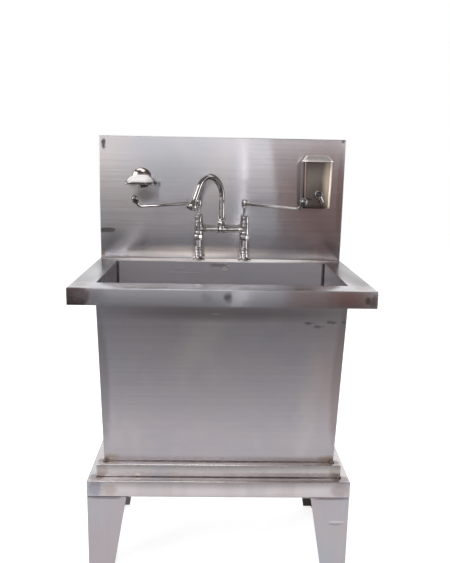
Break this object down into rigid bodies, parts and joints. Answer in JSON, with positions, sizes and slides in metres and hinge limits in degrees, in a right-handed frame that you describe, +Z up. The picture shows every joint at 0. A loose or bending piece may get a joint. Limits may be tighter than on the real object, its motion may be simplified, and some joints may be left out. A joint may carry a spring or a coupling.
{
  "type": "sluice sink",
  "caption": "Floor-standing stainless sluice sink with a deep sloping-front bowl, tall backsplash, lever bridge mixer with swan neck, soap dish and push-button soap dispenser.",
  "frame": {"origin": "on the floor, under the middle of the object's bounding box", "axes": "X to the right seen from the front, Y to the wall, Z up"},
  "size_m": [0.8, 0.52, 1.295],
  "materials": {
    "sheet_steel": "satin stainless sheet with weld marks and heat tint",
    "dispenser_steel": "fine brushed stainless",
    "chrome": "polished",
    "spring_steel": "plain",
    "rubber": "matt black",
    "tank_plastic": "translucent white",
    "white_insert": "smooth white"
  },
  "bodies": {
    "sink": {"rim": "sheet_steel", "backsplash": "sheet_steel", "splash_stiffeners": "sheet_steel", "bowl": "sheet_steel", "front_panel": "sheet_steel", "left_panel": "sheet_steel", "right_panel": "sheet_steel", "rear_panel": "sheet_steel", "panel_screws": "dispenser_steel", "step_front": "sheet_steel", "step_rear": "sheet_steel", "step_left": "sheet_steel", "step_right": "sheet_steel", "base_front": "sheet_steel", "base_rear": "sheet_steel", "base_left": "sheet_steel", "base_right": "sheet_steel", "leg_front_left": "sheet_steel", "leg_front_right": "sheet_steel", "leg_rear_left": "sheet_steel", "leg_rear_right": "sheet_steel", "waste_flange": "chrome", "waste_gasket": "rubber", "waste_nut": "chrome", "trap_nuts": "chrome", "trap_body": "chrome", "trap_cup": "chrome", "outlet_pipe": "chrome", "outlet_collar": "rubber", "deck_flanges": "chrome", "pillars": "chrome", "ledge_washers": "rubber", "back_nuts": "chrome", "union_nuts": "chrome", "bridge_body": "chrome", "valve_collars": "chrome", "bonnets": "chrome", "spout_nut": "chrome", "dish_flange": "chrome", "dish_tray": "chrome", "dispenser_back": "dispenser_steel", "dispenser_body": "dispenser_steel", "dispenser_hinge_pin": "chrome", "dispenser_tank": "tank_plastic", "push_valve": "chrome", "push_spring": "spring_steel", "soap_nozzle": "chrome", "level_window": "tank_plastic"},
    "spout_arm": {"spout": "chrome", "spout_nozzle": "chrome"},
    "hot_handle": {"hot_spindle": "chrome", "hot_lever": "chrome", "hot_grip": "chrome"},
    "cold_handle": {"cold_spindle": "chrome", "cold_lever": "chrome", "cold_grip": "chrome"},
    "button": {"push_button": "rubber"},
    "lid": {"dispenser_lid": "chrome"},
    "strainer_part": {"strainer": "chrome"},
    "insert_part": {"dish_insert": "white_insert"}
  },
  "joints": [
    {"name": "spout_swivel", "type": "hinge", "parent": "sink", "child": "spout_arm", "pos_m": [0, 0.212, 1.1], "axis": [0, 0, 1], "range_deg": [0, 72]},
    {"name": "hot_lever_turn", "type": "hinge", "parent": "sink", "child": "hot_handle", "pos_m": [-0.076, 0.212, 1.08], "axis": [0, 0, 1], "range_deg": [-43, 24]},
    {"name": "cold_lever_turn", "type": "hinge", "parent": "sink", "child": "cold_handle", "pos_m": [0.076, 0.212, 1.08], "axis": [0, 0, 1], "range_deg": [-17, 28]},
    {"name": "push_button_press", "type": "slide", "parent": "sink", "child": "button", "axis": [0, 1, 0], "range_m": [0, 0.007], "stiffness_N_per_m": 400, "deforming": ["push_spring"]},
    {"name": "dispenser_lid_hinge", "type": "hinge", "parent": "sink", "child": "lid", "pos_m": [0.303, 0.2334, 1.2273], "axis": [-1, 0, 0], "range_deg": [0, 55]},
    {"name": "strainer_lift", "type": "slide", "parent": "sink", "child": "strainer_part", "axis": [0, 0, 1], "range_m": [0, 0.25]},
    {"name": "insert_lift", "type": "slide", "parent": "sink", "child": "insert_part", "axis": [0, 0, 1], "range_m": [0, 0.08]}
  ]
}
